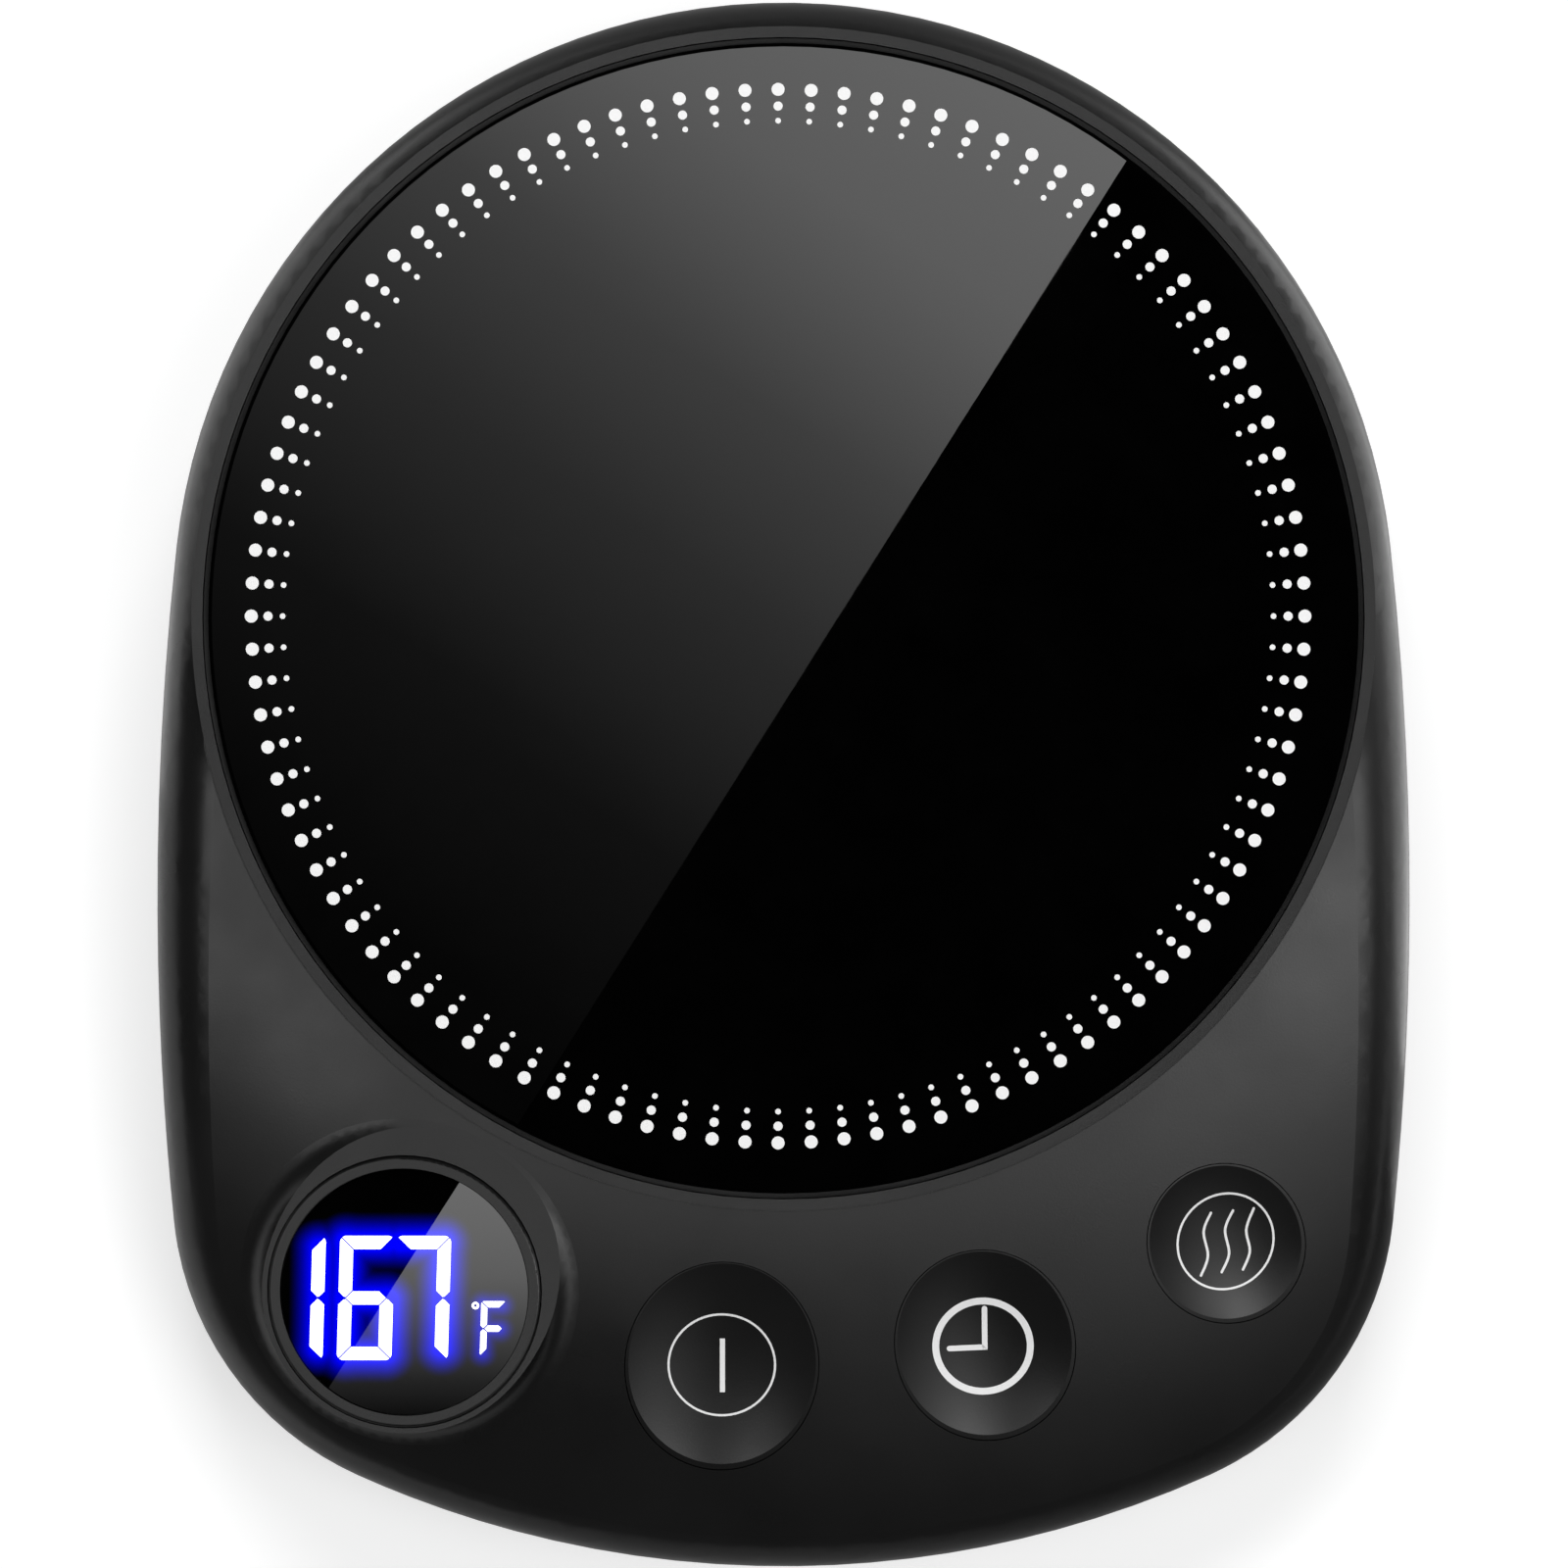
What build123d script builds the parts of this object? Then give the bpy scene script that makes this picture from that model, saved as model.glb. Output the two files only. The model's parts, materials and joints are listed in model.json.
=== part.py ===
from build123d import *

import os
from math import acos, asin, atan2, cos, degrees, radians, sin, sqrt

os.makedirs("parts", exist_ok=True)

# Electric mug warmer: a round glass heating plate in a low egg-shaped case, with a round display
# and three dished buttons on the sloping deck in front of the plate.
# Frame: the origin is on the table under the middle of the case, +X to the right, +Y to the rear
# with the power socket, +Z up. Millimetres.

# Plate opening and plan outline
glass_radius = 55.0
glass_groove = 0.6
lip_width = 1.05
lip_line_width = 0.15
lip_line_depth = 0.15
rear_margin = 2.35
side_margin = 3.35
bay_length = 34.35
rear_arc_shift = 0.5
side_arc = 313.0
corner_arc = 30.0
front_arc = 100.0

# Case heights and form
overall_height = 26.0
foot_proud = 1.5
base_depth = 4.5
wall = 2.0
base_floor = 2.0
deck_arc = 75.0
deck_level_inset = 7.95
lip_proud = 0.05
shoulder_radius = 6.0
base_edge_radius = 2.5
seam_chamfer = 0.2
tongue_height = 1.5
tongue_width = 1.2
tongue_gap = 0.15

# Clearances
fit_gap = 0.05
seat_gap = 0.1
button_gap = 0.1
head_gap = 0.2
upright_tolerance = 0.01

# Plate stack, from the glass down
glass_recess = 0.4
glass_thickness = 4.0
glass_bevel = 0.3
seal_thickness = 0.8
seal_recess = 1.1
seal_width = 3.1
spreader_inset = 7.0
spreader_thickness = 1.5
film_inset = 9.0
film_thickness = 0.3
pad_inset = 8.5
pad_thickness = 3.0
clamp_inset = 8.0
clamp_thickness = 1.0
ledge_reach = 3.5
ledge_thickness = 1.8
seat_shoulder_width = 2.35

# Sensor, thermal fuse and their windows
sensor_radius = 2.3
sensor_edge = 0.6
sensor_window_radius = 1.9
fuse_radius = 1.45
fuse_length = 9.0
fuse_edge = 0.35
fuse_tail_radius = 0.4
fuse_offset = 22.0
fuse_slot_width = 3.6
lead_window_x = 8.0
lead_window_radius = 1.6

# Controls: places in from the side or across from the middle, and in front of the lip, and half
# widths across and along the slope
display_from_side = 23.7
display_forward = 7.85
power_x = -5.9
power_forward = 14.95
timer_x = 19.3
timer_forward = 12.95
heat_from_side = 17.6
heat_forward = 3.2
power_across = 9.25
power_along = 9.95
power_dish = 1.8
timer_across = 8.6
timer_along = 9.15
timer_dish = 1.7
heat_across = 7.5
heat_along = 7.7
heat_dish = 1.4
button_rim_drop = 0.05
button_land = 0.15
button_depth = 3.2
button_flange = 0.9
button_travel = 0.4
stem_radius = 2.2

# Display, tipped a little towards the front corner
display_tilt = 8.0
bezel_radius = 13.1
bezel_edge = 0.3
collar_width = 0.6
collar_drop = 0.3
turret_blend = 3.0
lens_radius = 11.85
lens_recess = 0.3
lens_thickness = 1.2
lens_ledge = 0.4
module_gap = 0.15
module_height = 4.6
display_board_thickness = 1.2
digit_height = 12.0
digit_width = 5.25
digit_bar = 1.28
digit_corner = 0.5
digit_slant = 2.2
digit_y = -0.6
hundreds_x = -10.34
tens_x = -3.72
ones_x = 1.69
unit_height = 5.3
unit_width = 2.4
unit_bar = 0.6
unit_x = 8.47
unit_y = -3.55
degree_at = (6.8, -1.33)
degree_radius = 0.36
degree_hole = 0.14
segment_gap = 0.12
segment_depth = 1.0

# Control board and what it carries: forward is in front of the lip and tuck behind its front edge,
# outset is measured straight out from the lip
board_drop = 8.65
board_thickness = 1.6
board_inset = 8.0
board_tuck = 6.65
display_post_step = 13.8
display_post_outset = 2.3
heat_post_step = 12.4
heat_post_outset = 6.0
left_post_x = -20.0
left_post_forward = 20.35
right_post_x = 32.5
right_post_forward = 15.85
board_post_radius = 2.6
switch_size = 6.0
switch_height = 3.1
plunger_radius = 1.7
plunger_proud = 1.1
plunger_length = 2.0
header_length = 12.0
header_width = 2.5
header_offset = 5.5
connector_tuck = 3.15
connector_depth = 6.0
connector_height = 5.0
supply_connector_x = 14.0
supply_connector_width = 9.0
heater_connector_x = -2.0
heater_connector_width = 8.0
sensor_connector_step = 6.5
sensor_connector_width = 6.5
controller_x = -6.5
controller_tuck = 0.15
controller_size = (10.0, 4.0, 1.6)
lead_pitch = 1.27
lead_count = 8
lead_width = 0.5
lead_reach = 1.2
lead_thickness = 0.4
transistor_x = 8.0
transistor_forward = 0.85
transistor_size = (6.6, 6.1, 2.3)
transistor_tab = 2.4
transistor_tab_width = 5.6
capacitor_x = 18.5
capacitor_tuck = 1.0
capacitor_radius = 3.15
capacitor_height = 4.6
capacitor_edge = 0.5

# Screws
rear_screw_x = 24.6
rear_screw_inset = 6.4
front_screw_from_side = 12.5
front_screw_tuck = 10.65
case_screw_radius = 1.5
case_screw_length = 11.0
case_head_radius = 2.75
case_head_height = 2.0
case_head_sink = 1.5
pilot_spare = 0.5
post_joint_z = 8.0
case_post_radius = 3.4
base_pillar_radius = 4.2
head_chamfer = 0.4
cross_width = 0.6
cross_depth = 0.8
small_screw_radius = 1.25
small_head_radius = 2.2
small_head_height = 1.5
board_screw_length = 5.0
clamp_screw_inset = 2.2
clamp_screw_length = 4.0
clamp_post_radius = 2.4
clamp_ear_radius = 3.2

# Power socket in the rear wall
socket_width = 11.0
socket_height = 9.4
socket_depth = 13.0
socket_inset = 0.4
socket_notch_depth = 4.4
plug_recess_radius = 4.0
plug_recess_depth = 2.5
barrel_radius = 3.15
barrel_depth = 8.0
pin_radius = 1.05
pin_recess = 1.0
contact_x = 2.9
contact_thickness = 0.4
contact_width = 2.0
tag_length = 2.0
rib_thickness = 1.6
rib_height = 4.5

# Feet, vents and wires
foot_radius = 6.0
foot_sink = 1.0
foot_chamfer = 0.4
rear_foot_x = 36.0
rear_foot_inset = 9.3
front_foot_from_side = 26.0
front_foot_from_front = 17.0
vent_length = 16.0
vent_width = 2.0
vent_pitch = 6.0
vent_count = 6
vent_y = -10.0
supply_wire_radius = 0.9
heater_wire_radius = 0.8
sensor_wire_radius = 0.5
supply_wire_pitch = 3.0
heater_wire_pitch = 2.5
sensor_wire_pitch = 2.0
sensor_tail_pitch = 1.5
supply_exit = 16.0
supply_approach = 24.0
heater_approach = 10.0
sensor_approach = 20.0
drop_bend = 4.0
route_bend = 14.0

# Places that follow from the sizes above
opening_radius = glass_radius + glass_groove
lip_radius = opening_radius + lip_width
seat_shoulder_radius = lip_radius + seat_shoulder_width
deck_level_radius = lip_radius - deck_level_inset
ledge_inner_radius = glass_radius - ledge_reach
spreader_radius = glass_radius - spreader_inset
film_radius = glass_radius - film_inset
pad_radius = glass_radius - pad_inset
clamp_radius = glass_radius - clamp_inset
clamp_screw_radius = glass_radius - clamp_screw_inset
case_length = 2 * lip_radius + rear_margin + bay_length
case_width = 2 * (lip_radius + side_margin)
plate_y = case_length / 2 - rear_margin - lip_radius
bay_y = plate_y - lip_radius
display_at = (display_from_side - case_width / 2, bay_y - display_forward)
power_at = (power_x, bay_y - power_forward)
timer_at = (timer_x, bay_y - timer_forward)
heat_at = (case_width / 2 - heat_from_side, bay_y - heat_forward)
board_rear = bay_y + board_tuck
display_post_x = display_at[0] + display_post_step
heat_post_x = heat_at[0] - heat_post_step
board_posts = [
    (display_post_x, plate_y - sqrt((lip_radius + display_post_outset) ** 2 - display_post_x**2)),
    (heat_post_x, plate_y - sqrt((lip_radius + heat_post_outset) ** 2 - heat_post_x**2)),
    (left_post_x, bay_y - left_post_forward),
    (right_post_x, bay_y - right_post_forward),
]
connector_y = bay_y + connector_tuck
sensor_connector_x = display_post_x + sensor_connector_step
controller_at = (controller_x, bay_y + controller_tuck)
transistor_at = (transistor_x, bay_y - transistor_forward)
capacitor_at = (capacitor_x, bay_y + capacitor_tuck)
parting_z = foot_proud + base_depth
floor_z = foot_proud + base_floor
case_screw_seat = foot_proud + case_head_sink + case_head_height
glass_top = overall_height - glass_recess
glass_bottom = glass_top - glass_thickness
ledge_top = glass_bottom - seal_thickness
ledge_bottom = ledge_top - ledge_thickness
post_root_z = ledge_bottom + ledge_thickness / 2
spreader_bottom = glass_bottom - spreader_thickness
film_bottom = spreader_bottom - film_thickness
pad_bottom = film_bottom - pad_thickness
clamp_bottom = pad_bottom - clamp_thickness
fuse_y = plate_y - fuse_offset
turret_radius = bezel_radius + collar_width
bezel_depth = lens_recess + lens_thickness
module_bore = lens_radius - lens_ledge
module_radius = module_bore - module_gap
module_depth = bezel_depth + module_height
socket_front = case_length / 2 - socket_inset
socket_back = socket_front - socket_depth
socket_axis_z = floor_z + socket_height / 2
wire_end_y = connector_y + connector_depth / 2
deck_centre_z = overall_height - lip_proud - sqrt(deck_arc**2 - (lip_radius - deck_level_radius) ** 2)

# Outline arcs: the rear arc touches the rear end, the side arc the width, the front arc the front
# end, and the corner arc is tangent to the side arc and the front arc.
rear_centre = Vector(0, plate_y + rear_arc_shift)
rear_arc = case_length / 2 - rear_centre.Y
side_reach = side_arc - case_width / 2
side_centre = Vector(-side_reach, rear_centre.Y - sqrt((side_arc - rear_arc) ** 2 - side_reach**2))
front_centre = Vector(0, front_arc - case_length / 2)
screw_reach = rear_arc - rear_screw_inset
foot_reach = rear_arc - rear_foot_inset
case_screws_rear = (rear_screw_x, rear_centre.Y + sqrt(screw_reach**2 - rear_screw_x**2))
case_screws_front = (case_width / 2 - front_screw_from_side, bay_y + front_screw_tuck)
foot_rear = (rear_foot_x, rear_centre.Y + sqrt(foot_reach**2 - rear_foot_x**2))
foot_front = (case_width / 2 - front_foot_from_side, front_foot_from_front - case_length / 2)
centre_line = front_centre - side_centre
side_to_corner = side_arc - corner_arc
front_to_corner = front_arc - corner_arc
along_line = (side_to_corner**2 - front_to_corner**2 + centre_line.length**2) / (2 * centre_line.length)
off_line = sqrt(side_to_corner**2 - along_line**2)
line_unit = centre_line.normalized()
corner_centre = side_centre + line_unit * along_line + Vector(line_unit.Y, -line_unit.X) * off_line


def heading(start, end):
    """Angle in degrees of the line from start to end."""
    return degrees(atan2(end.Y - start.Y, end.X - start.X))


rear_angle = heading(side_centre, rear_centre)
side_angle = heading(side_centre, corner_centre)
corner_angle = heading(front_centre, corner_centre)


def case_outline(inset):
    """Plan outline of the case, moved inwards by inset."""
    with BuildSketch() as outline:
        with BuildLine():
            CenterArc(rear_centre, rear_arc - inset, rear_angle, 90 - rear_angle)
            CenterArc(side_centre, side_arc - inset, side_angle, rear_angle - side_angle)
            CenterArc(corner_centre, corner_arc - inset, corner_angle, side_angle - corner_angle)
            CenterArc(front_centre, front_arc - inset, -90, 90 + corner_angle)
            mirror(about=Plane.YZ)
        make_face()
    return outline.sketch


def case_form(inset):
    """Upper case as a solid moved inwards by inset: the outline under the domed deck."""
    crown_z = deck_centre_z + deck_arc - inset
    edge_angle = degrees(acos((parting_z - deck_centre_z) / deck_arc))
    with BuildPart() as dome:
        with BuildSketch(Plane((0, plate_y, 0), x_dir=(1, 0, 0), z_dir=(0, -1, 0))):
            with BuildLine():
                Line((0, 0), (0, crown_z))
                Line((0, crown_z), (deck_level_radius, crown_z))
                arc_centre = (deck_level_radius, deck_centre_z)
                slope = CenterArc(arc_centre, deck_arc - inset, 90 - edge_angle, edge_angle)
                Line(slope @ 0, ((slope @ 0).X, 0))
                Line(((slope @ 0).X, 0), (0, 0))
            make_face()
        revolve(axis=Axis((0, plate_y, 0), (0, 0, 1)))
    outline = case_outline(inset)
    with BuildPart() as form:
        with BuildSketch(Plane.XY.offset(parting_z)):
            add(outline)
        extrude(amount=overall_height)
        add(dome.part, mode=Mode.INTERSECT)
        side_walls = form.faces().filter_by(lambda face: abs(face.normal_at().Z) < upright_tolerance)
        shoulder = [
            edge
            for edge in side_walls.edges()
            if edge.geom_type != GeomType.LINE and edge.center().Z > parting_z + fit_gap
        ]
        fillet(shoulder, shoulder_radius - inset)
    return form.part


def deck_place(at):
    """Outward direction, distance from the plate axis, slope angle and height of the deck."""
    outward = Vector(at[0], at[1] - plate_y)
    distance = outward.length
    slope = asin((distance - deck_level_radius) / deck_arc)
    return outward.normalized(), distance, slope, deck_centre_z + deck_arc * cos(slope)


def slope_plane(at, height):
    """Level plane over a control, with its X axis across the slope."""
    outward = deck_place(at)[0]
    return Plane((at[0], at[1], height), x_dir=(-outward.Y, outward.X, 0), z_dir=(0, 0, 1))


def tipped_plane(at, tilt, edge_radius):
    """Plane tipped outwards from the plate, which reaches the full height at edge_radius."""
    outward = deck_place(at)[0]
    lean = radians(tilt)
    normal = Vector(outward.X * sin(lean), outward.Y * sin(lean), cos(lean))
    middle_z = overall_height - edge_radius * sin(lean)
    return Plane((at[0], at[1], middle_z), x_dir=(1, 0, -normal.X / normal.Z), z_dir=normal)


def deck_plug(at, across, along, inset):
    """Upright elliptical prism whose top follows the deck, inset below it."""
    with BuildPart() as plug:
        with BuildSketch(slope_plane(at, parting_z)):
            Ellipse(across, along)
        extrude(amount=overall_height)
        add(case_form(inset), mode=Mode.INTERSECT)
    return plug.part


def dish_tool(at, across, along, depth):
    """Barrel that cuts a dish whose edge follows an ellipse on the domed deck."""
    outward, distance, slope, height = deck_place(at)
    normal = Vector(outward.X * sin(slope), outward.Y * sin(slope), cos(slope))
    across_dir = Vector(-outward.Y, outward.X, 0)
    along_slope = along / cos(slope)
    across_rise = depth - across**2 * sin(slope) / (2 * distance)
    along_rise = depth - along_slope**2 / (2 * deck_arc)
    across_arc = (across**2 + across_rise**2) / (2 * across_rise)
    along_arc = (along_slope**2 + along_rise**2) / (2 * along_rise)
    half_chord = across + shoulder_radius / 2
    chord_z = across_arc - depth - sqrt(across_arc**2 - half_chord**2)
    axis_z = along_arc - depth
    origin = Vector(at[0], at[1], height)
    with BuildPart() as barrel:
        with BuildSketch(Plane(origin, x_dir=across_dir, z_dir=across_dir.cross(normal))):
            with BuildLine():
                left = (-half_chord, chord_z)
                right = (half_chord, chord_z)
                ThreePointArc(left, (0, -depth), right)
                Polyline(right, (half_chord, axis_z), (-half_chord, axis_z), left)
            make_face()
        revolve(axis=Axis(origin + normal * axis_z, across_dir))
    return barrel.part


def deck_posts(places, radius, bottom):
    """Round posts under the deck, up into half its thickness."""
    with BuildPart() as posts:
        with BuildSketch(Plane.XY.offset(bottom)):
            with Locations(*places):
                Circle(radius)
        extrude(amount=overall_height)
        add(case_form(wall / 2), mode=Mode.INTERSECT)
    return posts.part


def both_sides(place):
    """A place and its mirror image across the middle of the case."""
    return [(-place[0], place[1]), place]


def save(piece, name):
    """Label a finished piece and write it under its own name."""
    piece.part.label = name
    export_step(piece.part, f"parts/{name}.step")


# Heights that hang from the deck at the lowest button, so that the board keeps its place under it
board_top = deck_place(heat_at)[3] - board_drop
board_bottom = board_top - board_thickness
switch_top = board_top + switch_height
plunger_top = switch_top + plunger_proud
wire_z = board_bottom - connector_height / 2

plate_axis = (0, plate_y)
display_face = tipped_plane(display_at, display_tilt, turret_radius + turret_blend / 2)
case_screw_places = both_sides(case_screws_rear) + both_sides(case_screws_front)
clamp_offset = clamp_screw_radius / sqrt(2)
clamp_screw_places = [
    (side * clamp_offset, plate_y + end * clamp_offset) for side in (-1, 1) for end in (-1, 1)
]
buttons = {
    "power": (power_at, power_across, power_along, power_dish),
    "timer": (timer_at, timer_across, timer_along, timer_dish),
    "heat": (heat_at, heat_across, heat_along, heat_dish),
}

# Hollow under the deck, which stops at the solid shoulder around the plate
with BuildPart() as cover_hollow:
    add(case_form(wall))
    with BuildSketch(Plane.XY.offset(ledge_bottom)):
        with Locations(plate_axis):
            Circle(seat_shoulder_radius)
    extrude(amount=overall_height, mode=Mode.SUBTRACT)

# ---- Top cover: domed deck, plate opening with its lip and ledge, display turret ----
with BuildPart() as top_cover:
    add(case_form(0))
    # display turret, blended into the deck while it is tall, then trimmed to the collar
    with BuildSketch(display_face.offset(-overall_height / 2)):
        Circle(turret_radius)
    extrude(amount=overall_height)
    turret_head = display_face.offset(overall_height / 2).origin
    turret_wall = top_cover.faces().filter_by(GeomType.CYLINDER).sort_by_distance(turret_head)[0]
    fillet(turret_wall.edges().sort_by(Axis.Z)[0], turret_blend)
    with BuildSketch(display_face.offset(-collar_drop)):
        Circle(turret_radius + 2 * turret_blend)
    extrude(amount=overall_height, mode=Mode.SUBTRACT)
    add(cover_hollow.part, mode=Mode.SUBTRACT)
    # plate opening, its lip and the ledge under the plate
    with BuildSketch(Plane.XY.offset(parting_z)):
        with Locations(plate_axis):
            Circle(lip_radius)
    extrude(amount=overall_height, mode=Mode.SUBTRACT)
    with BuildSketch(Plane.XY.offset(overall_height)):
        with Locations(plate_axis):
            Circle(lip_radius)
            Circle(opening_radius, mode=Mode.SUBTRACT)
    extrude(amount=ledge_bottom - overall_height)
    with BuildSketch(Plane.XY.offset(overall_height - lip_proud - lip_line_depth)):
        with Locations(plate_axis):
            Circle(lip_radius + lip_line_width)
            Circle(lip_radius, mode=Mode.SUBTRACT)
    extrude(amount=overall_height, mode=Mode.SUBTRACT)
    with BuildSketch(Plane.XY.offset(ledge_bottom)):
        with Locations(plate_axis):
            Circle(opening_radius + fit_gap)
            Circle(ledge_inner_radius, mode=Mode.SUBTRACT)
    extrude(amount=ledge_thickness)
    # posts for the case screws, the board and the heater clamp
    with BuildSketch(Plane.XY.offset(post_joint_z)):
        with Locations(*both_sides(case_screws_rear)):
            Circle(case_post_radius)
    extrude(amount=post_root_z - post_joint_z)
    add(deck_posts(both_sides(case_screws_front), case_post_radius, post_joint_z))
    add(deck_posts(board_posts, board_post_radius, board_top))
    with BuildSketch(Plane.XY.offset(pad_bottom)):
        with Locations(*clamp_screw_places):
            Circle(clamp_post_radius)
    extrude(amount=post_root_z - pad_bottom)
    # screw pilot holes
    with BuildSketch(Plane.XY.offset(post_joint_z)):
        with Locations(*case_screw_places):
            Circle(case_screw_radius + fit_gap)
    extrude(amount=case_screw_seat + case_screw_length + pilot_spare - post_joint_z, mode=Mode.SUBTRACT)
    with BuildSketch(Plane.XY.offset(board_top)):
        with Locations(*board_posts):
            Circle(small_screw_radius + fit_gap)
    extrude(amount=board_screw_length - board_thickness + seat_gap, mode=Mode.SUBTRACT)
    with BuildSketch(Plane.XY.offset(pad_bottom)):
        with Locations(*clamp_screw_places):
            Circle(small_screw_radius + fit_gap)
    extrude(amount=clamp_screw_length - clamp_thickness + seat_gap, mode=Mode.SUBTRACT)
    # bezel seat, display bore and button openings
    with BuildSketch(display_face.offset(-bezel_depth)):
        Circle(bezel_radius + seat_gap)
    extrude(amount=overall_height, mode=Mode.SUBTRACT)
    with BuildSketch(display_face):
        Circle(module_bore)
    extrude(amount=-overall_height / 2, mode=Mode.SUBTRACT)
    for at, across, along, dish in buttons.values():
        with BuildSketch(slope_plane(at, parting_z)):
            Ellipse(across + button_gap, along + button_gap)
        extrude(amount=overall_height, mode=Mode.SUBTRACT)
    # notch over the power socket, open at the parting line
    with BuildSketch(Plane.XY.offset(parting_z)):
        with Locations((0, case_length / 2)):
            Rectangle(socket_width + 2 * seat_gap, 2 * socket_notch_depth)
    extrude(amount=floor_z + socket_height + seat_gap - parting_z, mode=Mode.SUBTRACT)
save(top_cover, "top_cover")

# ---- Base cover: shallow tray with a tongue, screw pillars, socket ribs, vents and foot seats ----
with BuildPart() as base_cover:
    with BuildSketch(Plane.XY.offset(foot_proud)):
        add(case_outline(0))
    extrude(amount=base_depth)
    fillet(base_cover.edges().group_by(Axis.Z)[0], base_edge_radius)
    chamfer(base_cover.edges().group_by(Axis.Z)[-1], seam_chamfer)
    with BuildSketch(Plane.XY.offset(floor_z)):
        add(case_outline(wall + tongue_width))
    extrude(amount=base_depth, mode=Mode.SUBTRACT)
    with BuildSketch(Plane.XY.offset(parting_z)):
        add(case_outline(wall + tongue_gap))
        add(case_outline(wall + tongue_width), mode=Mode.SUBTRACT)
    extrude(amount=tongue_height)
    with BuildSketch(Plane.XY.offset(floor_z)):
        with Locations(*case_screw_places):
            Circle(base_pillar_radius)
    extrude(amount=post_joint_z - floor_z)
    with BuildSketch(Plane.XY.offset(floor_z)):
        with Locations((0, case_length / 2)):
            Rectangle(socket_width + 2 * seat_gap, 2 * socket_notch_depth)
    extrude(amount=base_depth, mode=Mode.SUBTRACT)
    rib_x = (socket_width + rib_thickness) / 2 + seat_gap
    rib_length = socket_inset + socket_depth - socket_notch_depth
    with BuildSketch(Plane.XY.offset(floor_z)):
        with Locations((-rib_x, socket_back + rib_length / 2), (rib_x, socket_back + rib_length / 2)):
            Rectangle(rib_thickness, rib_length)
    extrude(amount=rib_height)
    with Locations(Plane((0, 0, foot_proud), x_dir=(1, 0, 0), z_dir=(0, 0, -1))):
        with Locations(*[(x, -y) for x, y in case_screw_places]):
            CounterBoreHole(
                case_screw_radius + seat_gap,
                case_head_radius + head_gap,
                case_head_sink + case_head_height,
                post_joint_z,
            )
    with BuildSketch(Plane.XY.offset(foot_proud)):
        with Locations(*both_sides(foot_rear), *both_sides(foot_front)):
            Circle(foot_radius + fit_gap)
    extrude(amount=foot_sink, mode=Mode.SUBTRACT)
    with BuildSketch(Plane.XY.offset(foot_proud)):
        with Locations((0, vent_y)):
            with GridLocations(vent_pitch, 0, vent_count, 1):
                SlotOverall(vent_length, vent_width, rotation=90)
    extrude(amount=base_floor, mode=Mode.SUBTRACT)
save(base_cover, "base_cover")

# ---- Rubber feet, sunk into the base ----
with BuildPart() as rubber_feet:
    with BuildSketch():
        with Locations(*both_sides(foot_rear), *both_sides(foot_front)):
            Circle(foot_radius)
    extrude(amount=foot_proud + foot_sink)
    chamfer(rubber_feet.edges().group_by(Axis.Z)[0], foot_chamfer)
save(rubber_feet, "rubber_feet")


def screw_set(places, seat_z, radius, length, head_radius, head_height):
    """Pan head screws that enter upwards, with a cross recess, seated at seat_z."""
    with BuildPart() as screws:
        with BuildSketch(Plane.XY.offset(seat_z - head_height)):
            with Locations(*places):
                Circle(head_radius)
        extrude(amount=head_height)
        chamfer(screws.edges().group_by(Axis.Z)[0], head_chamfer)
        with BuildSketch(Plane.XY.offset(seat_z)):
            with Locations(*places):
                Circle(radius)
        extrude(amount=length)
        with BuildSketch(Plane.XY.offset(seat_z - head_height)):
            with Locations(*places):
                Rectangle(head_radius, cross_width)
                Rectangle(cross_width, head_radius)
        extrude(amount=cross_depth, mode=Mode.SUBTRACT)
    return screws


case_screws = screw_set(
    case_screw_places,
    case_screw_seat,
    case_screw_radius,
    case_screw_length,
    case_head_radius,
    case_head_height,
)
save(case_screws, "case_screws")

board_screws = screw_set(
    board_posts,
    board_bottom,
    small_screw_radius,
    board_screw_length,
    small_head_radius,
    small_head_height,
)
save(board_screws, "board_screws")

clamp_screws = screw_set(
    clamp_screw_places,
    clamp_bottom,
    small_screw_radius,
    clamp_screw_length,
    small_head_radius,
    small_head_height,
)
save(clamp_screws, "clamp_screws")


def plate_disc(bottom, radius, thickness):
    """Round disc centred on the plate axis."""
    with BuildPart() as disc:
        with BuildSketch(Plane.XY.offset(bottom)):
            with Locations(plate_axis):
                Circle(radius)
        extrude(amount=thickness)
    return disc


# ---- Heating plate: glass, seal, spreader, film, insulation and clamp ----
with BuildPart() as glass_plate:
    add(plate_disc(glass_bottom, glass_radius, glass_thickness).part)
    chamfer(glass_plate.edges().group_by(Axis.Z)[-1], glass_bevel)
save(glass_plate, "glass_plate")

with BuildPart() as plate_seal:
    with BuildSketch(Plane.XY.offset(ledge_top)):
        with Locations(plate_axis):
            Circle(opening_radius - seat_gap)
            Circle(opening_radius - seal_width, mode=Mode.SUBTRACT)
    extrude(amount=seal_thickness)
    with BuildSketch(Plane.XY.offset(glass_bottom)):
        with Locations(plate_axis):
            Circle(opening_radius - seat_gap)
            Circle(glass_radius + fit_gap, mode=Mode.SUBTRACT)
    extrude(amount=glass_thickness - seal_recess)
save(plate_seal, "plate_seal")

heat_spreader = plate_disc(spreader_bottom, spreader_radius, spreader_thickness)
save(heat_spreader, "heat_spreader")

heater_film = plate_disc(film_bottom, film_radius, film_thickness)
save(heater_film, "heater_film")

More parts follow.
